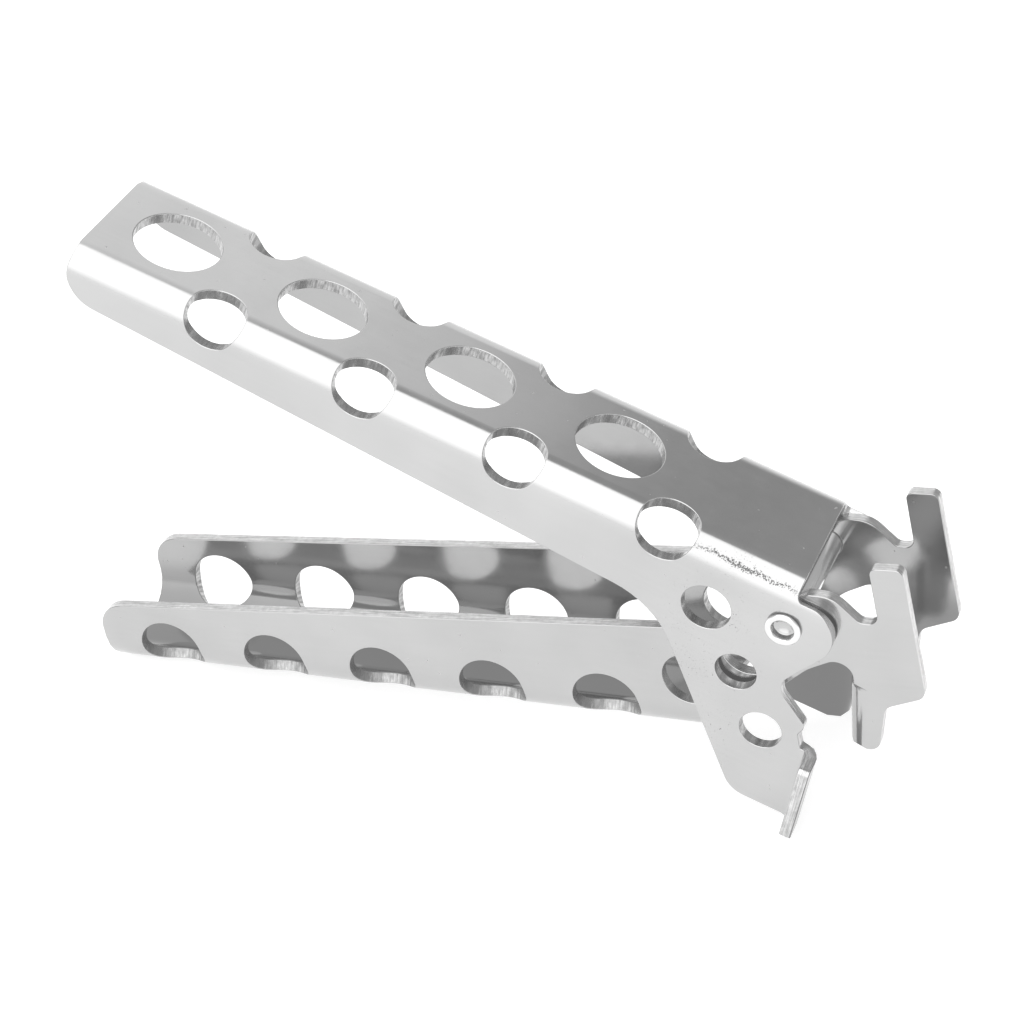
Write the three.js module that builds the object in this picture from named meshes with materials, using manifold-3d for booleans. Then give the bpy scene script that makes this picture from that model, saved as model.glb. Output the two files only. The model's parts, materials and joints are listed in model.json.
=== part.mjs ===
// Folding pot gripper, the two-handed camping kind: two stamped and folded sheet-steel channels that
// hinge on one rivet. The wide upper handle straddles the narrow lower one. Behind the rivet both are
// perforated grips, in front of it they are jaws: cheeks with outward feet on the upper handle, hook
// plates with inward legs on the lower one. A pan's rim goes in between.
//
// Millimetres, +Z up, +X towards the jaws, +Y along the rivet. The tongs stand open on the lower
// handle's tip and the two feet. The origin is on that surface, at the centre of the bounding box.
import * as THREE from 'three';
import { mergeVertices } from 'three/addons/utils/BufferGeometryUtils.js';
import Module from 'manifold-3d';

const wasm = await Module();
wasm.setup();

// Sheet, and how far the handles are apart
const THICKNESS = 2;
const OPENING = THREE.MathUtils.degToRad(24.6);
const FAR = 60; // longer than any cut has to be

// Both handles are drawn with the rivet's axis at x = 0, z = 0 and their webs level
const UPPER = {
  halfWidth: 14.2,
  bendRadius: 5.1,
  web: 8.3,
  tip: -130.2,
  flangeReach: 46,
};
const LOWER = {
  halfWidth: 11.6,
  bendRadius: 7.6,
  web: -27.8,
  tip: -132.5,
  flangeReach: 39.4,
};

// Perforations
const WEB_HOLES = { radius: 7.5, count: 4, first: -117.3, pitch: 27 };
const UPPER_EDGE_HOLES = { radius: 5, count: 4, first: -104.1, pitch: 27, across: 2.4 };
const LOWER_EDGE_HOLES = { radius: 6, count: 5, first: -119.1, pitch: 21.1, across: 8.7 };
const FLANGE_HOLE = { x: -18.5, z: -14.8, radius: 5 };
const CHEEK_HOLES = [
  { x: -12.6, z: -3, radius: 4.2 },
  { x: -4.3, z: -12.9, radius: 3.5 },
  { x: 3.1, z: -22.3, radius: 3.6 },
];

// Folds at the jaws: the feet turn outwards, the legs inwards
const FOLD_RADIUS = 1.2;
const PAD_REACH = 5.2;
const FOOT = { top: [10.2, -22.2], bottom: [11.7, -37.6] };
const LEG = { top: [11.5, -12.9], bottom: [10.4, -25.1] };

// Rivet, drilled a little way in from both ends so that the rims can be rolled out
const RIVET = { radius: 2.5, bore: 2, boreDepth: 1.5, head: 3.2, headThickness: 0.6, play: 0.25 };
const RIVET_HOLE_RADIUS = RIVET.radius + 0.08;

// Where both webs stop behind the jaws, and where the lower plates begin to be flat all the way down
const UPPER_END = 0.1;
const LOWER_END = -17.9;
const PLATES_START = -9;

// Side view of the upper handle, each corner as x, z and fillet radius
const UPPER_SIDE = [
  [UPPER.tip, 12],
  [UPPER_END, 12],
  [UPPER_END, 6.2, 1.6],
  [8.2, 6.2, 5.6],
  [8.3, -1.2, 5],
  [2.45, -11.95, 3.3],
  [9.7, -17.6, 0.8],
  [8.9, -19.6, 0.8],
  FOOT.top,
  FOOT.bottom,
  [2.3, -37.6, 5],
  [-20.6, -7.1, 16],
  [UPPER.tip, -0.4, 6.2],
];

// Side view of the lower handle
const LOWER_SIDE = [
  [LOWER.tip, -33],
  [LOWER.tip, -13.4, 5.5],
  [-12.9, -3.8, 1],
  [-11.5, -12.15, 4.4],
  [-1.9, -12.15, 3.5],
  [-4.7, -4.4, 2.5],
  [-4.7, 4.7, 4.6],
  [1.1, 4.7, 4.5],
  [2, 4.25, 0.6],
  [3.6, 4.95, 1.5],
  [7.6, 4.95, 5],
  [11.8, 0.4, 1.6],
  [14.8, 0.4, 1.6],
  [14.15, 11.15, 1.2],
  [19.6, 11.4, 1.4],
  [21.25, -13.25, 2],
  [14.3, -16.15, 2.5],
  [12.55, -25.1, 2],
  LEG.bottom,
  LEG.top,
  [9.65, -11.9, 0.3],
  [9.5, -6.2, 2.8],
  [2, -10, 8],
  [LOWER_END, -26.8],
  [LOWER_END, -33],
];

const steel = (color, roughness) => new THREE.MeshStandardMaterial({ color, roughness, metalness: 1 });

/** Closed geometry to a solid that can be joined and cut */
function solid(geometry) {
  const bare = geometry.clone();
  bare.deleteAttribute('normal');
  bare.deleteAttribute('uv');
  const merged = mergeVertices(bare);
  return new wasm.Manifold(
    new wasm.Mesh({
      numProp: 3,
      vertProperties: new Float32Array(merged.attributes.position.array),
      triVerts: new Uint32Array(merged.index.array),
    }),
  );
}

/** Solid back to a geometry */
function surface(body) {
  const { vertProperties, triVerts } = body.getMesh();
  const geometry = new THREE.BufferGeometry();
  geometry.setAttribute('position', new THREE.BufferAttribute(vertProperties, 3));
  geometry.setIndex(new THREE.BufferAttribute(triVerts, 1));
  geometry.computeVertexNormals();
  return geometry;
}

/** Outline through the corners, each rounded by its fillet radius */
function outline(corners) {
  const shape = new THREE.Shape();
  const at = (i) => new THREE.Vector2(...corners[(i + corners.length) % corners.length]);
  corners.forEach(([x, y, radius = 0], i) => {
    const corner = new THREE.Vector2(x, y);
    const back = at(i - 1).sub(corner).normalize();
    const ahead = at(i + 1).sub(corner).normalize();
    const half = Math.acos(back.dot(ahead)) / 2;
    const start = corner.clone().addScaledVector(back, radius / Math.tan(half));
    const end = corner.clone().addScaledVector(ahead, radius / Math.tan(half));
    if (i === 0) shape.moveTo(start.x, start.y);
    else shape.lineTo(start.x, start.y);
    if (radius > 0) {
      const middle = back.clone().add(ahead).setLength(radius / Math.sin(half)).add(corner);
      const from = start.sub(middle).angle();
      const to = end.sub(middle).angle();
      shape.absarc(middle.x, middle.y, radius, from, to, back.cross(ahead) > 0);
    }
  });
  shape.closePath();
  return shape;
}

/** Shape drawn in X and Z, thick enough to pass right through along Y */
function throughY(shape, curveSegments = 4) {
  return new THREE.ExtrudeGeometry(shape, { depth: 2 * FAR, bevelEnabled: false, curveSegments })
    .translate(0, 0, -FAR)
    .rotateX(Math.PI / 2);
}

/** Round cutter along Y through both flanges */
function boreY({ x, z, radius }) {
  return solid(new THREE.CylinderGeometry(radius, radius, 2 * FAR, 32).translate(x, 0, z));
}

/** Sheet folded into a channel: web on top with its outer face at z = 0, both flanges hanging down */
function channel({ halfWidth, bendRadius, tip, flangeReach }, length) {
  const inner = bendRadius - THICKNESS;
  const bend = halfWidth - bendRadius;
  const quarter = Math.PI / 2;
  const section = new THREE.Shape();
  section.moveTo(halfWidth, -flangeReach);
  section.lineTo(halfWidth, -bendRadius);
  section.absarc(bend, -bendRadius, bendRadius, 0, quarter);
  section.lineTo(-bend, 0);
  section.absarc(-bend, -bendRadius, bendRadius, quarter, 2 * quarter);
  section.lineTo(-halfWidth, -flangeReach);
  section.lineTo(THICKNESS - halfWidth, -flangeReach);
  section.lineTo(THICKNESS - halfWidth, -bendRadius);
  section.absarc(-bend, -bendRadius, inner, 2 * quarter, quarter, true);
  section.lineTo(bend, -THICKNESS);
  section.absarc(bend, -bendRadius, inner, quarter, 0, true);
  section.lineTo(halfWidth - THICKNESS, -flangeReach);
  section.closePath();
  return new THREE.ExtrudeGeometry(section, { depth: length, bevelEnabled: false, curveSegments: 4 })
    .rotateY(Math.PI / 2)
    .rotateX(Math.PI / 2)
    .translate(tip, 0, 0);
}

/** Cutter for a hole that was punched in the flat sheet and then folded round the channel's bend */
function foldedHole({ halfWidth, bendRadius }, { radius, across }, x, side) {
  const outside = 4;
  const inside = THICKNESS + 1;
  const neutral = bendRadius - THICKNESS / 2;
  const bendLength = (neutral * Math.PI) / 2;
  const cutter = new THREE.CylinderGeometry(radius, radius, outside + inside, 32);
  cutter.translate(0, (outside - inside) / 2, 0);
  const place = cutter.attributes.position;
  for (let i = 0; i < place.count; i += 1) {
    const along = across - side * place.getZ(i);
    const angle = THREE.MathUtils.clamp(along, 0, bendLength) / neutral;
    const reach = bendRadius + place.getY(i);
    const onWeb = Math.min(along, 0);
    const onFlange = Math.max(along - bendLength, 0);
    const y = halfWidth - bendRadius + reach * Math.sin(angle) + onWeb;
    const z = reach * Math.cos(angle) - bendRadius - onFlange;
    place.setXYZ(i, x + place.getX(i), side * y, z);
  }
  return solid(cutter);
}

/** Row of folded holes along both bends */
function cutFoldedHoles(body, handle, holes) {
  for (let i = 0; i < holes.count; i += 1) {
    for (const side of [-1, 1]) {
      body = body.subtract(foldedHole(handle, holes, holes.first + i * holes.pitch, side));
    }
  }
  return body;
}

/**
 * Flap folded at a right angle from a flange, along the line from fold.top to fold.bottom.
 * Its section is drawn with the fold line at x = 0 and the flange's concave-side face at y = 0.
 */
function flap(fold, facing, towardsX, face) {
  const outer = FOLD_RADIUS + THICKNESS;
  const overlap = 0.8;
  const quarter = Math.PI / 2;
  const section = new THREE.Shape();
  section.moveTo(-overlap, 0);
  section.absarc(0, FOLD_RADIUS, FOLD_RADIUS, -quarter, 0);
  section.lineTo(FOLD_RADIUS, PAD_REACH);
  section.lineTo(outer, PAD_REACH);
  section.absarc(0, FOLD_RADIUS, outer, 0, -quarter, true);
  section.lineTo(-overlap, -THICKNESS);
  section.closePath();
  const [topX, topZ] = fold.top;
  const [bottomX, bottomZ] = fold.bottom;
  const spare = 2;
  const depth = topZ - bottomZ + 2 * spare;
  const geometry = new THREE.ExtrudeGeometry(section, { depth, bevelEnabled: false, curveSegments: 4 });
  geometry.translate(0, 0, bottomZ - spare);
  const lean = (topX - bottomX) / (topZ - bottomZ);
  const place = geometry.attributes.position;
  for (let i = 0; i < place.count; i += 1) {
    const z = place.getZ(i);
    const x = bottomX + lean * (z - bottomZ) + towardsX * place.getX(i);
    place.setXYZ(i, x, face + facing * place.getY(i), z);
  }
  if (facing * towardsX < 0) turnOver(geometry);
  const band = new THREE.BoxGeometry(FAR, FAR, topZ - bottomZ);
  band.translate(bottomX, face, (topZ + bottomZ) / 2);
  return solid(geometry).intersect(solid(band));
}

/** Turn every face of an unindexed geometry over, after it was mirrored */
function turnOver(geometry) {
  const place = geometry.attributes.position;
  const first = new THREE.Vector3();
  const second = new THREE.Vector3();
  for (let i = 0; i < place.count; i += 3) {
    first.fromBufferAttribute(place, i);
    second.fromBufferAttribute(place, i + 1);
    place.setXYZ(i, ...second);
    place.setXYZ(i + 1, ...first);
  }
}

function upperHandle() {
  let body = cutFoldedHoles(solid(channel(UPPER, 150)), UPPER, UPPER_EDGE_HOLES);
  for (let i = 0; i < WEB_HOLES.count; i += 1) {
    const hole = new THREE.CylinderGeometry(WEB_HOLES.radius, WEB_HOLES.radius, 4 * THICKNESS, 40);
    hole.rotateX(Math.PI / 2).translate(WEB_HOLES.first + i * WEB_HOLES.pitch, 0, 0);
    body = body.subtract(solid(hole));
  }
  body = body.translate(0, 0, UPPER.web).intersect(solid(throughY(outline(UPPER_SIDE))));
  // In front of the web's end only the cheeks are left, clear of the lower handle's arms
  const between = new THREE.BoxGeometry(FAR, 2 * LOWER.halfWidth + 0.3, FAR);
  body = body.subtract(solid(between.translate(FAR / 2 + UPPER_END, 0, 0)));
  for (const hole of CHEEK_HOLES) body = body.subtract(boreY(hole));
  body = body.subtract(boreY({ x: 0, z: 0, radius: RIVET_HOLE_RADIUS }));
  for (const side of [-1, 1]) body = body.add(flap(FOOT, side, 1, side * UPPER.halfWidth));
  const mesh = new THREE.Mesh(surface(body), steel(0xd0d2d4, 0.34));
  mesh.name = 'upper_handle';
  return mesh;
}

function lowerHandle() {
  // The lower channel opens upwards, so it is made upside down and turned over
  let body = cutFoldedHoles(solid(channel(LOWER, PLATES_START - LOWER.tip)), LOWER, LOWER_EDGE_HOLES);
  const beyondWeb = new THREE.BoxGeometry(FAR, 2 * (LOWER.halfWidth - LOWER.bendRadius), FAR);
  body = body.subtract(solid(beyondWeb.translate(LOWER_END + FAR / 2, 0, 0)));
  body = body.rotate(180, 0, 0).translate(0, 0, LOWER.web);
  // In front of the web the plates stay flat right down to the legs
  for (const side of [-1, 1]) {
    const plate = new THREE.BoxGeometry(FAR, THICKNESS, LOWER.flangeReach);
    const y = side * (LOWER.halfWidth - THICKNESS / 2);
    body = body.add(solid(plate.translate(PLATES_START + FAR / 2, y, LOWER.web + LOWER.flangeReach / 2)));
  }
  body = body.intersect(solid(throughY(outline(LOWER_SIDE))));
  body = body.subtract(boreY(FLANGE_HOLE));
  body = body.subtract(boreY({ x: 0, z: 0, radius: RIVET_HOLE_RADIUS }));
  for (const side of [-1, 1]) {
    const innerFace = side * (LOWER.halfWidth - THICKNESS);
    body = body.add(flap(LEG, -side, -1, innerFace));
  }
  const mesh = new THREE.Mesh(surface(body), steel(0xc8cacd, 0.3));
  mesh.name = 'lower_handle';
  return mesh;
}

/** One pin through all four plates, with its rims rolled out into heads over the cheeks */
function pivotRivet() {
  const { radius, bore, boreDepth, head, headThickness, play } = RIVET;
  const seat = UPPER.halfWidth + play;
  const end = seat + headThickness;
  const edge = 0.25;
  const half = [
    [radius, seat],
    [head - edge, seat],
    [head, seat + edge],
    [head - edge, end],
    [bore + edge, end],
    [bore, end - edge],
  ];
  const mirrored = half.map(([r, y]) => [r, -y]).reverse();
  const profile = [...half, ...mirrored, half[0]].map(([r, y]) => new THREE.Vector2(r, y));
  const floor = end - boreDepth;
  const core = (radius + bore) / 2;
  let body = solid(new THREE.LatheGeometry(profile, 32));
  body = body.add(solid(new THREE.CylinderGeometry(core, core, 2 * floor, 32)));
  // The drill leaves a shallow dish in the floor of each bore
  const dish = { radius: 1.8, depth: 0.45 };
  const ball = (dish.radius ** 2 + dish.depth ** 2) / (2 * dish.depth);
  const within = solid(new THREE.CylinderGeometry(1.9, 1.9, 2 * floor + 0.2, 32));
  for (const side of [-1, 1]) {
    const cutter = new THREE.SphereGeometry(ball, 32, 32);
    cutter.translate(0, side * (floor - dish.depth + ball), 0);
    body = body.subtract(solid(cutter).intersect(within));
  }
  const mesh = new THREE.Mesh(surface(body), steel(0xe2e3e4, 0.2));
  mesh.name = 'pivot_rivet';
  return mesh;
}

// The lower handle leans so that its tip and the feet of the open upper handle stand level
const footX = FOOT.bottom[0] + FOLD_RADIUS + THICKNESS;
const footZ = FOOT.bottom[1];
const standX = footX * Math.cos(OPENING) + footZ * Math.sin(OPENING);
const standZ = footZ * Math.cos(OPENING) - footX * Math.sin(OPENING);
const lean = Math.atan2(LOWER.web - standZ, standX - LOWER.tip);

const upper = new THREE.Group();
upper.rotation.y = OPENING - lean;
upper.add(upperHandle());

const lower = new THREE.Group();
lower.rotation.y = -lean;
lower.add(lowerHandle(), pivotRivet());

const group = new THREE.Group();
group.add(upper, lower);
group.updateMatrixWorld(true);
const box = new THREE.Box3().setFromObject(group, true);
group.position.set(-(box.min.x + box.max.x) / 2, 0, -box.min.z);

export default group;
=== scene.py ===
"""The looks of a folding pot gripper: two sheet-steel handles, cut flat and then folded, and their rivet."""
import json
import math

import bpy
import numpy as np
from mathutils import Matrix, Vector
from mathutils.geometry import delaunay_2d_cdt


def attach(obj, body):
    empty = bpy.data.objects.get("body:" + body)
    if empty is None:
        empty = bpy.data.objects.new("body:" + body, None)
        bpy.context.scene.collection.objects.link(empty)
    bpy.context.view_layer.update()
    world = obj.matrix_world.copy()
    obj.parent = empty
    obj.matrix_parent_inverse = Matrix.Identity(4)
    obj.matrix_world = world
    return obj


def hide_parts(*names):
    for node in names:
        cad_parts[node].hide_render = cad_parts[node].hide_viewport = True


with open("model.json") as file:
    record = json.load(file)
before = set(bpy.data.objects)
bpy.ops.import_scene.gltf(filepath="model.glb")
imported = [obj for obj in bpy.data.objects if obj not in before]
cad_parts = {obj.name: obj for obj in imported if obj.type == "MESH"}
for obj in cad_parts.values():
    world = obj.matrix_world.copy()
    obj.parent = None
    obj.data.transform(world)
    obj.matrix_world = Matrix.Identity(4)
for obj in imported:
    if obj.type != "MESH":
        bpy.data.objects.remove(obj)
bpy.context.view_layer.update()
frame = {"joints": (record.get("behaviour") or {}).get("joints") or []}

# ---------------------------------------------------------------- sizes, in millimetres
THICKNESS = 2.0
# radius of every cut edge
EDGE_ROUND = 0.16
# how deep a shear cuts smoothly before the sheet tears
SHEAR_DEPTH = 0.8
OPENING = math.radians(24.6)
# the lower handle leans, so that its tip and both feet stand on the floor
LEAN = math.radians(5.5149)
TURN_UPPER = OPENING - LEAN
TURN_LOWER = -LEAN
PIVOT = np.array(frame["joints"][0]["pos_m"]) * 1000

# both handles are drawn with the rivet's axis at x = 0, z = 0 and their webs level
UPPER = dict(half_width=14.2, bend=5.1, web=8.3, tip=-130.2, end=0.1)
LOWER = dict(half_width=11.6, bend=7.6, web=-27.8, tip=-132.5, end=-17.9)
# where the lower handle's plates begin to be flat all the way down
PLATES_START = -9.0
# the flanges are square, and only the shading of their inner faces leans, which moves what they mirror
SPRINGBACK = math.radians(2.8)

# the feet and legs
FOLD_RADIUS = 1.2
PAD_REACH = 5.2
# they lie in front of this x, and each fold reaches a little past both ends of its line
PADS_START = 3
PAD_MARGIN = 0.6
# their fold lines, as (x, z) of the top and bottom
FOOT = ((10.2, -22.2), (11.7, -37.5))
LEG = ((11.5, -12.9), (10.4, -25.1))

WEB_HOLES = [(-117.3 + 27 * i, 7.5) for i in range(4)]
UPPER_EDGE_HOLES = [(-104.1 + 27 * i, 2.4, 5.0) for i in range(4)]
LOWER_EDGE_HOLES = [(-119.1 + 21.1 * i, 8.7, 6.0) for i in range(5)]
CHEEK_HOLES = [(-12.6, -3.0, 4.2), (-4.3, -12.9, 3.5), (3.1, -22.3, 3.6)]
FLANGE_HOLE = (-18.5, -14.8, 5.0)
RIVET_HOLE = 2.58
# top of the lower handle's slanting front edge
FRONT_TOP = (2, -10)

RIVET = dict(radius=2.5, bore=1.87, bore_depth=1.5, dish=0.6, rim=2.99, lip=0.32, head=0.6, play=0.25)

# spacing of the mesh's points: rows along the bends and round the pads' folds, and a net over the rest
BEND_ROWS, BEND_STEP = 13, 1.5
PAD_ROWS, PAD_STEP = 10, 1.3
NET_STEP = 4.0
BORDER_GAP = 0.42
# how many points are compared with the border at a time
BATCH = 400


# ---------------------------------------------------------------- outlines
def rounded(corners, step=math.radians(7)):
    """Closed loop of points through the corners (x, v, fillet radius)"""
    points = []
    count = len(corners)
    for i, (x, v, radius) in enumerate(corners):
        p = np.array([x, v])
        back = np.array(corners[i - 1][:2]) - p
        ahead = np.array(corners[(i + 1) % count][:2]) - p
        back /= np.linalg.norm(back)
        ahead /= np.linalg.norm(ahead)
        half = math.acos(np.clip(back @ ahead, -1, 1)) / 2
        if radius == 0:
            points.append(p)
            continue
        middle = p + (back + ahead) / np.linalg.norm(back + ahead) * radius / math.sin(half)
        start = p + back * radius / math.tan(half) - middle
        sweep = math.pi - 2 * half
        turn = -math.copysign(1, back[0] * ahead[1] - back[1] * ahead[0])
        steps = max(2, int(math.ceil(sweep / step)))
        for k in range(steps + 1):
            a = turn * sweep * k / steps
            c, s = math.cos(a), math.sin(a)
            points.append(middle + [start[0] * c - start[1] * s, start[0] * s + start[1] * c])
    return np.array(points)


def filled_in(loop, longest=2.0):
    """The same loop with long straight stretches divided"""
    out = []
    for a, b in zip(loop, np.roll(loop, -1, 0)):
        n = max(1, int(math.ceil(np.linalg.norm(b - a) / longest)))
        out += [a + (b - a) * k / n for k in range(n)]
    return np.array(out)


def circle(x, v, radius, count=72):
    a = np.linspace(0, 2 * math.pi, count, endpoint=False)
    return np.stack([x + radius * np.cos(a), v + radius * np.sin(a)], 1)


def area(loop):
    x, v = loop.T
    return 0.5 * np.sum(x * np.roll(v, -1) - np.roll(x, -1) * v)


def inside(points, loop):
    """Even-odd test of many points against one loop"""
    result = np.zeros(len(points), bool)
    for a, b in zip(loop, np.roll(loop, -1, 0)):
        crosses = (a[1] > points[:, 1]) != (b[1] > points[:, 1])
        with np.errstate(divide="ignore", invalid="ignore"):
            x = (b[0] - a[0]) * (points[:, 1] - a[1]) / (b[1] - a[1]) + a[0]
        result ^= crosses & (points[:, 0] < x)
    return result


# ---------------------------------------------------------------- from the flat sheet to the folded one
class Blank:
    """Flat sheet of one handle. v is the distance from the centre line, measured along the sheet's middle."""

    def __init__(self, size, up, fold, fold_side, fold_out, flat_from=None):
        self.size, self.up, self.flat_from = size, up, flat_from
        self.start = size["half_width"] - size["bend"]
        self.neutral = size["bend"] - THICKNESS / 2
        self.length = self.neutral * math.pi / 2
        self.level = size["web"] + up * size["bend"]
        top, bottom = np.array(fold[0]), np.array(fold[1])
        self.root = bottom
        self.along = (top - bottom) / np.linalg.norm(top - bottom)
        self.fold_length = np.linalg.norm(top - bottom)
        self.across = np.array([self.along[1], -self.along[0]]) * fold_side
        self.fold_out = fold_out

    def v(self, z):
        """Flat position of a height on the flange"""
        return self.start + self.length + self.up * (z - self.level)

    def pad(self):
        """Flat corners of the pad: outer top and outer bottom"""
        reach = (FOLD_RADIUS + THICKNESS / 2) * math.pi / 2 + PAD_REACH - FOLD_RADIUS
        top = self.root + self.along * self.fold_length + self.across * reach
        bottom = self.root + self.across * reach
        return (top[0], self.v(top[1])), (bottom[0], self.v(bottom[1]))

    def fold(self, x, s, depth):
        """Points of the folded sheet, in the handle's own frame. depth is 0 on the outside of the channel."""
        x, s, depth = (np.asarray(k, float) + 0 * np.asarray(x, float) for k in (x, s, depth))
        side = np.where(s < 0, -1.0, 1.0)
        a = np.abs(s)
        past = a - self.start
        angle = np.clip(past, 0, self.length) / self.neutral
        r = self.size["bend"] - depth
        bent_y = self.start + r * np.sin(angle) + np.minimum(past, 0)
        bent_z = self.level - self.up * r * np.cos(angle)
        # on the flange: the pad curls round its own fold line
        z = self.level + self.up * (past - self.length)
        rel_x, rel_z = x - self.root[0], z - self.root[1]
        d = rel_x * self.across[0] + rel_z * self.across[1]
        h = rel_x * self.along[0] + rel_z * self.along[1]
        neutral = FOLD_RADIUS + THICKNESS / 2
        quarter = neutral * math.pi / 2
        curl = np.clip(d, 0, quarter) / neutral
        rr = FOLD_RADIUS + (depth if self.fold_out > 0 else THICKNESS - depth)
        lift = FOLD_RADIUS - rr * np.cos(curl) + np.maximum(d - quarter, 0)
        run = rr * np.sin(curl)
        base = self.size["half_width"] - (0 if self.fold_out > 0 else THICKNESS)
        pad_y = base + self.fold_out * lift
        pad_x = self.root[0] + self.along[0] * h + self.across[0] * run
        pad_z = self.root[1] + self.along[1] * h + self.across[1] * run
        near_pad = np.abs(h - self.fold_length / 2) < self.fold_length / 2 + PAD_MARGIN
        on_pad = (d > 0) & near_pad & (x > PADS_START)
        flat = past > self.length
        if self.flat_from is not None:
            flat = flat | (x > self.flat_from)
        flat_y = self.size["half_width"] - depth
        y = np.where(on_pad, pad_y, np.where(flat, flat_y, bent_y))
        zz = np.where(on_pad, pad_z, np.where(flat, z, bent_z))
        xx = np.where(on_pad, pad_x, x)
        return np.stack([xx, side * y, zz], -1)

    def grid(self, loops):
        """Rows of points where the sheet is curved, so that the folds come out round"""
        rows = []
        xs = np.arange(self.size["tip"], 12, BEND_STEP)
        for k in range(BEND_ROWS):
            v = self.start + self.length * k / (BEND_ROWS - 1)
            for side in (-1, 1):
                rows.append(np.stack([xs + BEND_STEP / 2 * (k % 2), np.full_like(xs, side * v)], 1))
        neutral = FOLD_RADIUS + THICKNESS / 2
        hs = np.arange(-0.5, self.fold_length + 0.5, PAD_STEP)
        for k in range(PAD_ROWS):
            d = neutral * math.pi / 2 * k / (PAD_ROWS - 1)
            p = self.root + np.outer(hs + PAD_STEP / 2 * (k % 2), self.along) + self.across * d
            for side in (-1, 1):
                rows.append(np.stack([p[:, 0], side * self.v(p[:, 1])], 1))
        # a sparse net over the rest keeps the triangles short
        gx, gv = np.meshgrid(np.arange(self.size["tip"], 22, NET_STEP), np.arange(-62, 62, NET_STEP))
        rows.append(np.stack([gx.ravel(), gv.ravel()], 1))
        points = np.concatenate(rows)
        keep = inside(points, loops[0])
        for hole in loops[1:]:
            keep &= ~inside(points, hole)
        points = points[keep]
        border = np.concatenate(loops)
        clear = np.ones(len(points), bool)
        for i in range(0, len(points), BATCH):
            gap = np.linalg.norm(points[i:i + BATCH, None] - border[None], axis=2).min(1)
            clear[i:i + BATCH] = gap > BORDER_GAP
        return points[clear]


def flat_cap(blank, rims):
    """Inner points and triangles that fill one face of the flat sheet between its outline and its holes"""
    inner = blank.grid(rims)
    source = np.concatenate(rims + [inner])
    edges = []
    count = 0
    for rim in rims:
        n = len(rim)
        edges += [(count + i, count + (i + 1) % n) for i in range(n)]
        count += n
    _, _, faces, orig, _, _ = delaunay_2d_cdt([Vector(p) for p in source], edges, [], 0, 1e-6, True)
    back = [o[0] if o else -1 for o in orig]
    tri = np.array([[back[i] for i in f] for f in faces])
    tri = tri[(tri >= 0).all(1)]
    middle = source[tri].mean(1)
    keep = inside(middle, rims[0])
    for rim in rims[1:]:
        keep &= ~inside(middle, rim)
    tri = tri[keep]
    a, b, c = source[tri[:, 0]], source[tri[:, 1]], source[tri[:, 2]]
    turned = (b[:, 0] - a[:, 0]) * (c[:, 1] - a[:, 1]) - (b[:, 1] - a[:, 1]) * (c[:, 0] - a[:, 0]) < 0
    tri[turned] = tri[turned][:, ::-1]
    return inner, tri


def edge_rings():
    """Rings of points from one face of the sheet to the other, as (angle round the edge, depth)"""
    rings = [(a, EDGE_ROUND * (1 - math.cos(math.radians(a)))) for a in (0, 30, 60, 90)]
    rings.append((90, SHEAR_DEPTH))
    for a in (90, 120, 150, 180):
        rings.append((a, THICKNESS - EDGE_ROUND * (1 + math.cos(math.radians(a)))))
    return rings


# materials between the rings, as places in the list that sheet() takes
OUTLINE_SLOTS = (0, 0, 0, 2, 3, 1, 1, 1)
HOLE_SLOTS = (0, 0, 0, 4, 4, 1, 1, 1)
# shears streak an outline lengthwise, and a punch streaks a hole in its own direction
OUTLINE_STREAKS = (0.4, 11)
HOLE_STREAKS = (3.5, 0.6)


def outward(loop):
    """Normal at each point of a loop, and the share of an offset that is left at its corner"""
    before = loop - np.roll(loop, 1, 0)
    after = np.roll(loop, -1, 0) - loop
    before /= np.linalg.norm(before, axis=1)[:, None]
    after /= np.linalg.norm(after, axis=1)[:, None]
    tangent = before + after
    miter = np.clip(np.linalg.norm(tangent, axis=1) / 2, 0.4, 1)
    tangent /= np.linalg.norm(tangent, axis=1)[:, None]
    return np.stack([tangent[:, 1], -tangent[:, 0]], 1), miter


def wall_facing(blank, rings, depths, normal):
    """Which way the folded wall of one loop looks, from the slope of its middle rings"""
    corners = [blank.fold(*rings[k].T, depths[k]) for k in (3, 4, 5)]
    ahead = np.roll(corners[1], -1, 0) - np.roll(corners[1], 1, 0)
    facing = np.cross(ahead, corners[2] - corners[0])
    facing /= np.linalg.norm(facing, axis=1)[:, None]
    # a small step off the wall tells its two sides apart
    probe = rings[4] + 0.02 * normal
    probe = blank.fold(*probe.T, depths[4]) - corners[1]
    return facing * np.sign((facing * probe).sum(1))[:, None]


def shading(blank, flat, tilt, depth, sides):
    """Normals from the fold itself. Those of the flanges' inner faces lean by SPRINGBACK."""
    x, s = flat.T
    step = 1e-3
    out = blank.fold(x, s, depth - step) - blank.fold(x, s, depth + step)
    out /= np.linalg.norm(out, axis=1)[:, None]
    on_flange = (np.abs(out[:, 1]) > 0.999) & (depth > THICKNESS / 2)
    out[:, 2] -= np.where(on_flange, blank.up * math.tan(SPRINGBACK), 0)
    normals = out * np.cos(tilt)[:, None] + sides * np.sin(tilt)[:, None]
    return normals / np.linalg.norm(normals, axis=1)[:, None]


def add_object(name, data):
    """New object in the scene, with its own place at the origin"""
    thing = bpy.data.objects.new(name, data)
    bpy.context.scene.collection.objects.link(thing)
    return thing


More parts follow.
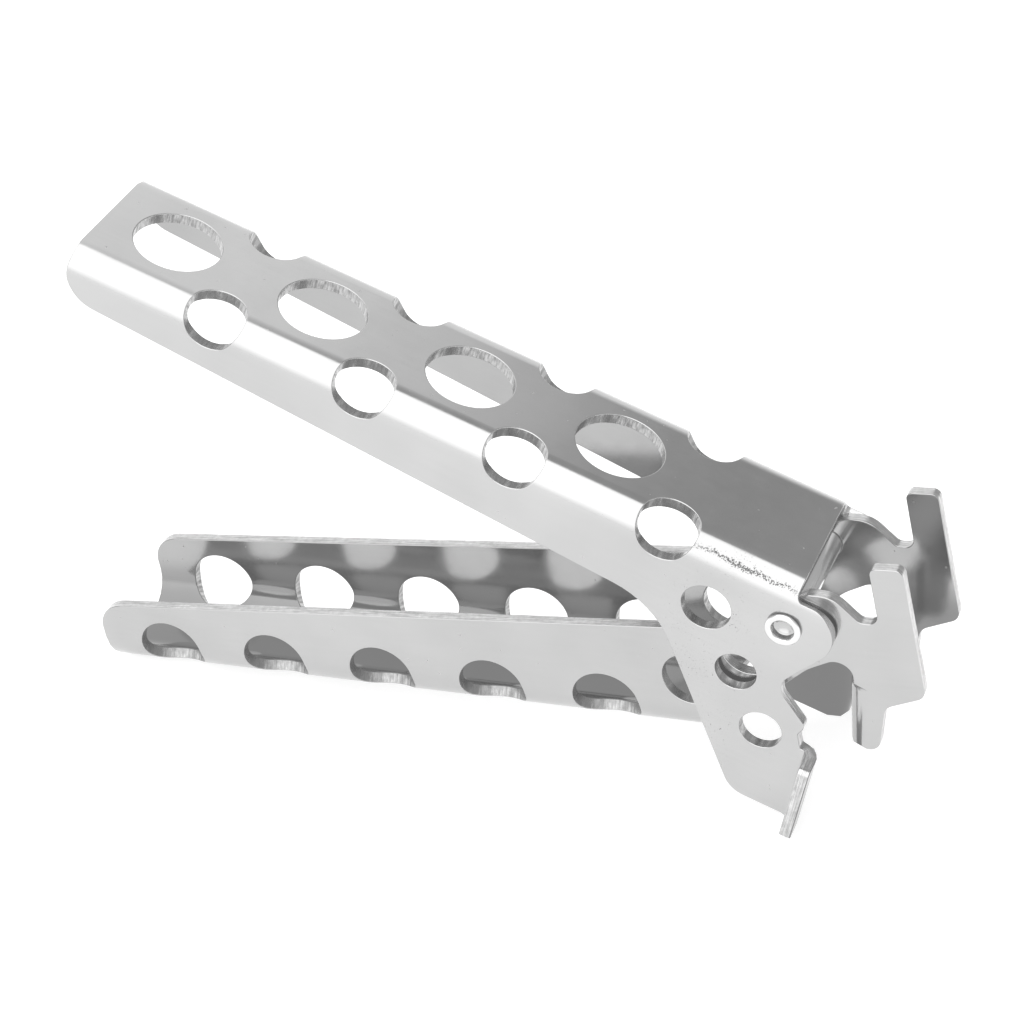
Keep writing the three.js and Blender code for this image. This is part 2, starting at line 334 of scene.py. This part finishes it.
def sheet(name, blank, loops, turn, materials):
    """
    Mesh of a folded sheet with rounded edges, from its flat outline and holes.
    Materials: outside, inside, smooth shear, torn shear, hole wall.
    """
    rings = edge_rings()
    flat, tilt, depth, run, wall, loop_ids, rims, sides = [], [], [], [], [], [], [], []
    offset = 0
    for number, loop in enumerate(loops):
        is_outline = number == 0
        if (area(loop) > 0) != is_outline:
            loop = loop[::-1]
        n = len(loop)
        normal, miter = outward(loop)
        step = np.linalg.norm(np.roll(loop, -1, 0) - loop, axis=1)
        around = np.concatenate([[0], np.cumsum(step)[:-1]]) * 2 * math.pi / step.sum()
        length_scale, depth_scale = OUTLINE_STREAKS if is_outline else HOLE_STREAKS
        ring_run = np.stack([np.cos(around), np.sin(around)], 1) * step.sum() / (2 * math.pi) * length_scale
        ids = []
        for angle, d in rings:
            inset = EDGE_ROUND * (1 - math.sin(math.radians(angle)))
            flat.append(loop - normal * (inset / miter)[:, None])
            tilt.append(np.full(n, math.radians(angle)))
            depth.append(np.full(n, d))
            run.append(np.column_stack([ring_run, np.full(n, d * depth_scale)]))
            ids.append(np.arange(offset, offset + n))
            offset += n
        loop_ids.append(ids)
        own = flat[-len(rings):]
        rims.append((own[0], own[-1]))
        sides += [wall_facing(blank, own, depth[-len(rings):], normal)] * len(rings)
        for k, slot in enumerate(OUTLINE_SLOTS if is_outline else HOLE_SLOTS):
            for i in range(n):
                j = (i + 1) % n
                wall.append(((ids[k][i], ids[k + 1][i], ids[k + 1][j], ids[k][j]), slot))

    caps = []
    for face, (t, d) in enumerate(((0.0, 0.0), (math.pi, THICKNESS))):
        inner, tri = flat_cap(blank, [rim[face] for rim in rims])
        n = len(inner)
        rim_ids = np.concatenate([ids[-face] for ids in loop_ids])
        ids = np.concatenate([rim_ids, np.arange(offset, offset + n)])
        offset += n
        caps.append([tuple(ids[k]) if face == 0 else tuple(ids[k][::-1]) for k in tri])
        flat.append(inner)
        tilt.append(np.full(n, t))
        depth.append(np.full(n, d))
        run.append(np.zeros((n, 3)))
        sides.append(np.tile([1.0, 0.0, 0.0], (n, 1)))
    flat, tilt, depth = np.concatenate(flat), np.concatenate(tilt), np.concatenate(depth)
    run, sides = np.concatenate(run), np.concatenate(sides)

    cosine, sine = math.cos(turn), math.sin(turn)
    spin = np.array([[cosine, 0, sine], [0, 1, 0], [-sine, 0, cosine]])
    points = (blank.fold(*flat.T, depth) @ spin.T + PIVOT) / 1000
    normals = shading(blank, flat, tilt, depth, sides) @ spin.T

    polygons = caps[0] + caps[1] + [w[0] for w in wall]
    slots = [0] * len(caps[0]) + [1] * len(caps[1]) + [w[1] for w in wall]
    mesh = bpy.data.meshes.new(name)
    mesh.from_pydata([tuple(p) for p in points], [], [tuple(int(i) for i in p) for p in polygons])
    # the drawing's handedness decides which way all faces look
    mesh.update()
    sample = mesh.polygons[0]
    if np.dot(np.array(sample.normal), normals[sample.vertices[0]]) < 0:
        mesh.flip_normals()
    for material in materials:
        mesh.materials.append(material)
    mesh.polygons.foreach_set("material_index", slots)
    mesh.polygons.foreach_set("use_smooth", [True] * len(polygons))
    mesh.normals_split_custom_set_from_vertices([tuple(n) for n in normals])
    along = mesh.attributes.new("along_edge", "FLOAT_VECTOR", "POINT")
    along.data.foreach_set("vector", (run / 1000).astype(np.float32).ravel())
    mesh.update()
    return add_object(name, mesh)


def mirrored(half):
    """Both halves of a symmetric blank, from the corners of its v > 0 half"""
    return half + [(x, -v, r) for x, v, r in reversed(half)]


# ---------------------------------------------------------------- materials
class Shader:
    """Small helper that wires one metal material. Its coordinates are the handle's own, in metres."""

    def __init__(self, name, turn):
        self.material = bpy.data.materials.new(name)
        self.material.use_nodes = True
        self.nodes, self.links = self.material.node_tree.nodes, self.material.node_tree.links
        self.shader = self.nodes["Principled BSDF"]
        self.shader.inputs["Metallic"].default_value = 1.0
        where = self.nodes.new("ShaderNodeTexCoord")
        self.own = self.nodes.new("ShaderNodeMapping")
        self.own.inputs["Rotation"].default_value = (0, -turn, 0)
        cosine, sine = math.cos(turn), math.sin(turn)
        px, _, pz = PIVOT / 1000
        self.own.inputs["Location"].default_value = (sine * pz - cosine * px, 0, -(sine * px + cosine * pz))
        self.links.new(where.outputs["Object"], self.own.inputs[0])

    def put(self, socket, value):
        if isinstance(value, (int, float)):
            socket.default_value = value
        elif value is not None:
            self.links.new(value, socket)

    def place(self):
        """x, y and z in the handle's own frame"""
        split = self.nodes.new("ShaderNodeSeparateXYZ")
        self.links.new(self.own.outputs[0], split.inputs[0])
        return split.outputs

    def math(self, kind, a, b=None, c=None):
        n = self.nodes.new("ShaderNodeMath")
        n.operation = kind
        for slot, value in enumerate((a, b, c)):
            self.put(n.inputs[slot], value)
        return n.outputs[0]

    def noise(self, scale, detail=2.0, roughness=0.5, stretch=(1, 1, 1), offset=(0, 0, 0)):
        place = self.nodes.new("ShaderNodeMapping")
        place.inputs["Scale"].default_value = stretch
        place.inputs["Location"].default_value = offset
        self.links.new(self.own.outputs[0], place.inputs[0])
        n = self.nodes.new("ShaderNodeTexNoise")
        n.inputs["Scale"].default_value = scale
        n.inputs["Detail"].default_value = detail
        n.inputs["Roughness"].default_value = roughness
        self.links.new(place.outputs[0], n.inputs["Vector"])
        return n.outputs["Fac"]

    def ramp(self, value, low, high, first, last, smooth=False):
        n = self.nodes.new("ShaderNodeMapRange")
        n.clamp = True
        if smooth:
            n.interpolation_type = "SMOOTHSTEP"
        for key, number in (("From Min", low), ("From Max", high), ("To Min", first), ("To Max", last)):
            self.put(n.inputs[key], number)
        self.put(n.inputs["Value"], value)
        return n.outputs[0]

    def paint(self, grey, level):
        n = self.nodes.new("ShaderNodeVectorMath")
        n.operation = "SCALE"
        n.inputs[0].default_value = (grey, grey, grey)
        self.links.new(level, n.inputs["Scale"])
        self.links.new(n.outputs[0], self.shader.inputs["Base Color"])

    def bump(self, layers):
        """Each layer is a height, its strength and its distance in metres"""
        normal = None
        for height, strength, distance in layers:
            n = self.nodes.new("ShaderNodeBump")
            n.inputs["Strength"].default_value = strength
            n.inputs["Distance"].default_value = distance
            self.links.new(height, n.inputs["Height"])
            self.put(n.inputs["Normal"], normal)
            normal = n.outputs[0]
        self.links.new(normal, self.shader.inputs["Normal"])


def darkened(m, level, painted_shade):
    """Painted shade: darker at the bottom of the channel, and higher up between the jaws."""
    (z_low, z_high), lift, darkest = painted_shade
    x, _, z = m.place()
    height = m.math("SUBTRACT", z, m.ramp(x, -0.015, 0.002, 0, lift))
    return m.math("MULTIPLY", level, m.ramp(height, z_low, z_high, darkest, 1, smooth=True))


def galled_line(m, scuff):
    """Mask of the line that the die left on the sheet, halfway round both bends"""
    (x_low, x_high), (bend_y, bend_z), radius, angle = scuff
    x, y, z = m.place()
    sideways = m.math("SUBTRACT", m.math("ABSOLUTE", y), bend_y)
    height = m.math("SUBTRACT", z, bend_z)
    off = m.math("SUBTRACT", m.math("ARCTAN2", sideways, height), angle)
    off = m.math("MULTIPLY", off, radius)
    off = m.math("ADD", off, m.ramp(m.noise(300, 3, 0.6, (1, 0.2, 0.2)), 0.25, 0.75, -0.0005, 0.0005))
    fade_in = m.ramp(x, x_low, x_low + 0.006, 0, 1)
    fade_out = m.ramp(x, x_high - 0.003, x_high, 1, 0)
    # crumbs lie dense on the line and thin out beside it
    close = m.ramp(m.math("ABSOLUTE", off), 0, 0.0009, 0.1, -0.16)
    close = m.math("ADD", close, m.ramp(m.noise(140, 2, 0.5), 0.3, 0.7, -0.03, 0.05))
    crumbs = m.math("ADD", m.noise(4200, 2, 0.6), close)
    return m.math("MULTIPLY", m.ramp(crumbs, 0.54, 0.6, 0, 1), m.math("MULTIPLY", fade_in, fade_out))


def steel(name, grey, roughness, spread, turn, dents=1.0, scuff=None, painted_shade=None):
    """Tumbled stainless sheet: fine grain along it, soft clouds, sparse pits and shallow waves"""
    m = Shader(name, turn)
    grain = m.noise(1500, 3, 0.6, (0.06, 1, 1))
    cloud = m.noise(55, 2, 0.5, (1, 0.5, 1))
    patch = m.noise(260, 3, 0.6, offset=(0.3, 0.1, 0))
    pit = m.ramp(m.noise(900, 1, 0.5), 0.775, 0.83, 0, 1)
    waves = m.noise(38, 1, 0.4, (0.6, 1, 1), (0.1, 0, 0.2))
    level = m.math("ADD", m.ramp(cloud, 0.3, 0.7, 0.93, 1.02), m.ramp(grain, 0.25, 0.75, -0.012, 0.012))
    rough = m.ramp(patch, 0.3, 0.7, roughness - spread, roughness + spread)
    rough = m.math("ADD", rough, m.math("MULTIPLY", pit, 0.5))
    heights = [(waves, 0.5 * dents, 0.0004), (patch, 0.25 * dents, 0.00001), (grain, 0.2, 0.000002)]
    # painted shade on the inner faces, darker towards the bottom of the channel
    if painted_shade:
        level = darkened(m, level, painted_shade)
    if scuff:
        line = galled_line(m, scuff)
        level = m.math("MULTIPLY_ADD", line, -0.72, level)
        rough = m.math("MULTIPLY_ADD", line, 0.35, rough)
        heights.append((line, -1.0, 0.00006))
    m.paint(grey, level)
    m.links.new(rough, m.shader.inputs["Roughness"])
    m.bump(heights)
    return m.material


def sheared(name, grey, turn, dark, rough, depth):
    """Cut edge of the sheet, streaked along its run and dented. dark is how far its streaks fall."""
    m = Shader(name, turn)
    run = m.nodes.new("ShaderNodeAttribute")
    run.attribute_name = "along_edge"
    streak = m.nodes.new("ShaderNodeTexNoise")
    streak.inputs["Scale"].default_value = 520.0
    streak.inputs["Detail"].default_value = 4.0
    streak.inputs["Roughness"].default_value = 0.6
    m.links.new(run.outputs["Vector"], streak.inputs["Vector"])
    marks = streak.outputs["Fac"]
    chips = m.noise(1100, 3, 0.6)
    level = m.math("ADD", m.ramp(marks, 0.38, 0.62, dark, 1.0), m.ramp(chips, 0.35, 0.65, -0.1, 0.06))
    m.paint(grey, level)
    m.links.new(m.ramp(marks, 0.35, 0.65, rough + 0.14, rough), m.shader.inputs["Roughness"])
    m.bump([(marks, 0.6, depth), (chips, 0.4, depth / 3)])
    return m.material


# the die mark on the upper handle's bends, in metres: its ends, the bend's centre, its radius and the angle
SCUFF = ((-0.021, 0.001), (0.0091, 0.0032), 0.0051, math.radians(46))


def sheet_steels(name, outside, inside, turn, scuff=None, painted_shade=None):
    return [
        steel(name + "_outside", outside, 0.15, 0.03, turn, scuff=scuff),
        steel(name + "_inside", inside, 0.13, 0.03, turn, painted_shade=painted_shade),
        sheared(name + "_sheared", 0.68, turn, 0.66, 0.16, 0.00003),
        sheared(name + "_torn", 0.66, turn, 0.62, 0.24, 0.00004),
        sheared(name + "_punched", 0.5, turn, 0.5, 0.2, 0.00003),
    ]


# the painted shade: its two heights and its rise between the jaws, in metres, and its level
UPPER_PAINTED_SHADE = ((-0.026, -0.014), 0.0, 0.5)
LOWER_PAINTED_SHADE = ((-0.0245, -0.0165), 0.012, 0.55)

# painted shade: each inside grey is a darker copy of the same sheet's outside steel
upper_steels = sheet_steels("upper", 0.52, 0.4, TURN_UPPER, scuff=SCUFF, painted_shade=UPPER_PAINTED_SHADE)
# painted shade: the lower handle's outside grey is set darker than the upper's, though it is the same steel
lower_steels = sheet_steels("lower", 0.485, 0.4, TURN_LOWER, painted_shade=LOWER_PAINTED_SHADE)
rivet_steel = steel("rivet_pin", 0.74, 0.16, 0.04, TURN_LOWER)
bore_steel = steel("rivet_bore", 0.46, 0.14, 0.05, TURN_LOWER, dents=3.0)

# ---------------------------------------------------------------- the camera
# millimetres and radians, in the part's own frame
CAMERA_LENS = 97.337
CAMERA_PLACE = Vector((162.58, -342.43, 311.71))
CAMERA_TURN = [math.radians(a) for a in (54.473, 4.272, 22.076)]


def add_camera():
    """Long lens on the near side, a little beyond the jaws, looking down at the tool"""
    camera_data = bpy.data.cameras.new("camera")
    camera_data.lens = CAMERA_LENS
    camera_data.sensor_width = 36
    camera_data.clip_end = 10
    camera = add_object("camera", camera_data)
    camera.location = CAMERA_PLACE / 1000
    camera.rotation_euler = CAMERA_TURN
    bpy.context.scene.camera = camera


add_camera()

# ---------------------------------------------------------------- upper handle
upper = Blank(UPPER, -1, FOOT, 1, 1)
foot_top, foot_bottom = upper.pad()
v = upper.v
upper_half = [
    (UPPER["tip"], v(-0.4), 6.2),
    (-20.6, v(-7.1), 16),
    (2.3, v(-37.6), 5),
    (FOOT[1][0], v(FOOT[1][1]), 0),
    (*foot_bottom, 0.7),
    (*foot_top, 1.1),
    (FOOT[0][0], v(FOOT[0][1]), 0),
    (8.9, v(-19.6), 0.8),
    (9.7, v(-17.6), 1.5),
    (2.45, v(-11.95), 3.3),
    (8.1, v(-1.22), 5.1),
    (8.1, v(5.2), 5.1),
    (UPPER["end"], v(5.2), 1.2),
]
upper_loops = [filled_in(rounded(mirrored(upper_half)))]
upper_loops += [circle(x, 0, r, 96) for x, r in WEB_HOLES]
for side in (-1, 1):
    upper_loops += [circle(x, side * (upper.start + across), r) for x, across, r in UPPER_EDGE_HOLES]
    upper_loops += [circle(x, side * v(z), r) for x, z, r in CHEEK_HOLES]
    upper_loops += [circle(0, side * v(0), RIVET_HOLE, 48)]
upper_piece = sheet("upper_sheet", upper, upper_loops, TURN_UPPER, upper_steels)
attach(upper_piece, "upper")
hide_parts("upper_handle")

# ---------------------------------------------------------------- lower handle
lower = Blank(LOWER, 1, LEG, -1, -1, flat_from=PLATES_START)
leg_top, leg_bottom = lower.pad()
v = lower.v
lower_half = [
    (LOWER["tip"], v(-13.4), 5.5),
    (-12.9, v(-3.8), 1),
    (-11.5, v(-12.15), 4.4),
    (-1.9, v(-12.15), 3.5),
    (-4.7, v(-4.4), 2.5),
    (-4.7, v(4.7), 4.6),
    (1.1, v(4.7), 4.5),
    (2.0, v(4.25), 0.6),
    (3.6, v(4.95), 1.5),
    (7.6, v(4.95), 5),
    (11.8, v(0.4), 1.6),
    (14.8, v(0.4), 1.6),
    (14.15, v(11.15), 1.2),
    (19.6, v(11.4), 1.4),
    (21.25, v(-13.25), 2),
    (14.3, v(-16.15), 2.5),
    (12.55, v(-25.1), 2),
    (LEG[1][0], v(LEG[1][1]), 0),
    (*leg_bottom, 1.6),
    (*leg_top, 0.7),
    (LEG[0][0], v(LEG[0][1]), 0),
    (9.65, v(-11.9), 0.3),
    (9.5, v(-6.2), 2.8),
    (FRONT_TOP[0], v(FRONT_TOP[1]), 8),
]
# the slanting front edge goes on round the bend and meets the web's square end there
front_height = LOWER["web"] + THICKNESS / 2 - FRONT_TOP[1]
for angle in np.radians(range(90, -1, -6)):
    z = lower.level - lower.neutral * math.cos(angle)
    x = FRONT_TOP[0] + (LOWER["end"] - FRONT_TOP[0]) * (z - FRONT_TOP[1]) / front_height
    lower_half.append((x, lower.start + lower.neutral * angle, 0))
lower_loops = [filled_in(rounded(mirrored(lower_half)))]
for side in (-1, 1):
    lower_loops += [circle(x, side * (lower.start + across), r, 80) for x, across, r in LOWER_EDGE_HOLES]
    lower_loops += [circle(FLANGE_HOLE[0], side * v(FLANGE_HOLE[1]), FLANGE_HOLE[2])]
    lower_loops += [circle(0, side * v(0), RIVET_HOLE, 48)]
lower_piece = sheet("lower_sheet", lower, lower_loops, TURN_LOWER, lower_steels)
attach(lower_piece, "lower")
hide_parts("lower_handle")


# ---------------------------------------------------------------- rivet
def revolve(name, profile, materials, steps=96):
    """
    Closed body of revolution about the rivet's axis, from (radius, y) points that start and end on the axis.
    Its second material is for the floor and wall of both bores.
    """
    profile = np.array(profile)
    n = len(profile)
    ring = n - 2
    points = []
    for k in range(steps):
        a = 2 * math.pi * k / steps
        points += [(r * math.cos(a), y, r * math.sin(a)) for r, y in profile[1:-1]]
    points += [(0, profile[0][1], 0), (0, profile[-1][1], 0)]
    first, last = steps * ring, steps * ring + 1
    faces = []
    for k in range(steps):
        m = (k + 1) % steps
        faces.append((first, k * ring, m * ring))
        faces.append((last, m * ring + ring - 1, k * ring + ring - 1))
        for i in range(ring - 1):
            faces.append((k * ring + i, k * ring + i + 1, m * ring + i + 1, m * ring + i))
    points = (np.array(points) + [PIVOT[0], 0, PIVOT[2]]) / 1000
    mesh = bpy.data.meshes.new(name)
    mesh.from_pydata([tuple(p) for p in points], [], faces)
    mesh.update()
    for material in materials:
        mesh.materials.append(material)
    mesh.polygons.foreach_set("use_smooth", [True] * len(faces))
    for face in mesh.polygons:
        x, y, z = face.center
        from_axis = math.hypot(x * 1000 - PIVOT[0], z * 1000 - PIVOT[2])
        face.material_index = int(from_axis < RIVET["bore"] - 0.001 and abs(y) * 1000 > 12)
    return add_object(name, mesh)


def rivet_profile():
    """Half of the pin's section from one end's centre: dished floor, bore, rolled rim and shank"""
    shank, bore, rim, lip = RIVET["radius"], RIVET["bore"], RIVET["rim"], RIVET["lip"]
    seat = UPPER["half_width"] + RIVET["play"]
    end = seat + RIVET["head"]
    floor = end - RIVET["bore_depth"]
    points = [(1.65 * k / 8, floor - RIVET["dish"] * (1 - (k / 8) ** 2)) for k in range(9)]
    points += [(1.8, floor + 0.03), (1.86, floor + 0.12), (bore, floor + 0.3), (bore, end - 0.42)]
    for k in range(1, 10):
        a = math.radians(180 - 20 * k)
        points.append(((rim + bore) / 2 + (rim - bore) / 2 * math.cos(a), end - lip + lip * math.sin(a)))
    points += [(rim, seat + 0.17), (2.93, seat + 0.06), (2.82, seat + 0.01), (2.62, seat)]
    return points + [(2.53, seat - 0.03), (shank, seat - 0.12), (shank, 6), (shank, 0)]


half = rivet_profile()
rivet = revolve("rivet", half + [(r, -y) for r, y in reversed(half[:-1])], (rivet_steel, bore_steel))
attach(rivet, "lower")
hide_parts("pivot_rivet")

# ---------------------------------------------------------------- floor and light
# metres from the middle to each side
FLOOR_REACH = 3
# light strengths
FLOOR_GLOW = 0.68
SOFT_BOX = 2.05


def light_table():
    """White floor, lit a little from below"""
    r = FLOOR_REACH
    mesh = bpy.data.meshes.new("floor")
    mesh.from_pydata([(-r, -r, 0), (r, -r, 0), (r, r, 0), (-r, r, 0)], [], [(0, 1, 2, 3)])
    paper = bpy.data.materials.new("paper")
    paper.use_nodes = True
    inputs = paper.node_tree.nodes["Principled BSDF"].inputs
    inputs["Base Color"].default_value = (0.5, 0.5, 0.5, 1)
    inputs["Roughness"].default_value = 0.9
    inputs["Emission Color"].default_value = (1, 1, 1, 1)
    inputs["Emission Strength"].default_value = FLOOR_GLOW
    mesh.materials.append(paper)
    return add_object("floor", mesh)


floor = light_table()


def studio():
    """World light: a wide soft box from low in front to just past the top, and a dimmer back wall"""
    world = bpy.data.worlds.new("studio")
    bpy.context.scene.world = world
    world.use_nodes = True
    tree = world.node_tree
    nodes, links = tree.nodes, tree.links

    def math_node(kind, a, b=None):
        n = nodes.new("ShaderNodeMath")
        n.operation = kind
        for slot, value in ((0, a), (1, b)):
            if isinstance(value, (int, float)):
                n.inputs[slot].default_value = value
            elif value is not None:
                links.new(value, n.inputs[slot])
        return n.outputs[0]

    def smooth(value, low, high, first, last):
        n = nodes.new("ShaderNodeMapRange")
        n.interpolation_type = "SMOOTHSTEP"
        for key, number in (("From Min", low), ("From Max", high), ("To Min", first), ("To Max", last)):
            n.inputs[key].default_value = number
        links.new(value, n.inputs["Value"])
        return n.outputs[0]

    direction = nodes.new("ShaderNodeTexCoord")
    split = nodes.new("ShaderNodeSeparateXYZ")
    links.new(direction.outputs["Generated"], split.inputs[0])
    x, y, z = split.outputs
    # 0 is the horizon in front, 90 the zenith and 180 the horizon behind
    over = math_node("ARCTAN2", z, math_node("MULTIPLY", y, -1.0))
    box_light = math_node(
        "MULTIPLY",
        smooth(over, math.radians(-4), math.radians(22), 0, 1),
        smooth(over, math.radians(100), math.radians(110), 1, 0),
    )
    # the soft box fades towards both of its ends, so a look from above or along the tool doesn't burn out
    front_end = smooth(x, 0.38, 0.6, SOFT_BOX, 0.4 * SOFT_BOX)
    rear_end = smooth(x, -0.8, -0.52, 0.35, 1)
    box_part = math_node("MULTIPLY", box_light, math_node("MULTIPLY", front_end, rear_end))
    # the back wall falls off towards the jaws, then comes up a little
    wall = math_node("ADD", smooth(x, -0.03, 0.14, 1.16, 0.37), smooth(x, 0.13, 0.35, 0.0, 0.15))
    low_front = smooth(y, -0.3, 0.1, 1.4, 0)
    rest = math_node("MAXIMUM", wall, low_front)
    rest_part = math_node("MULTIPLY", math_node("SUBTRACT", 1.0, box_light), rest)
    links.new(math_node("ADD", box_part, rest_part), nodes["Background"].inputs["Strength"])
    nodes["Background"].inputs["Color"].default_value = (1, 1, 1, 1)


studio()

view = bpy.context.scene.view_settings
view.view_transform = "Standard"
# soft blacks, as in a brightly lit catalogue picture
view.use_curve_mapping = True
curve = view.curve_mapping.curves[3]
curve.points[0].location = (0, 0.085)
for level in ((0.1, 0.175), (0.22, 0.25), (0.4, 0.405), (0.6, 0.6)):
    curve.points.new(*level)
view.curve_mapping.update()
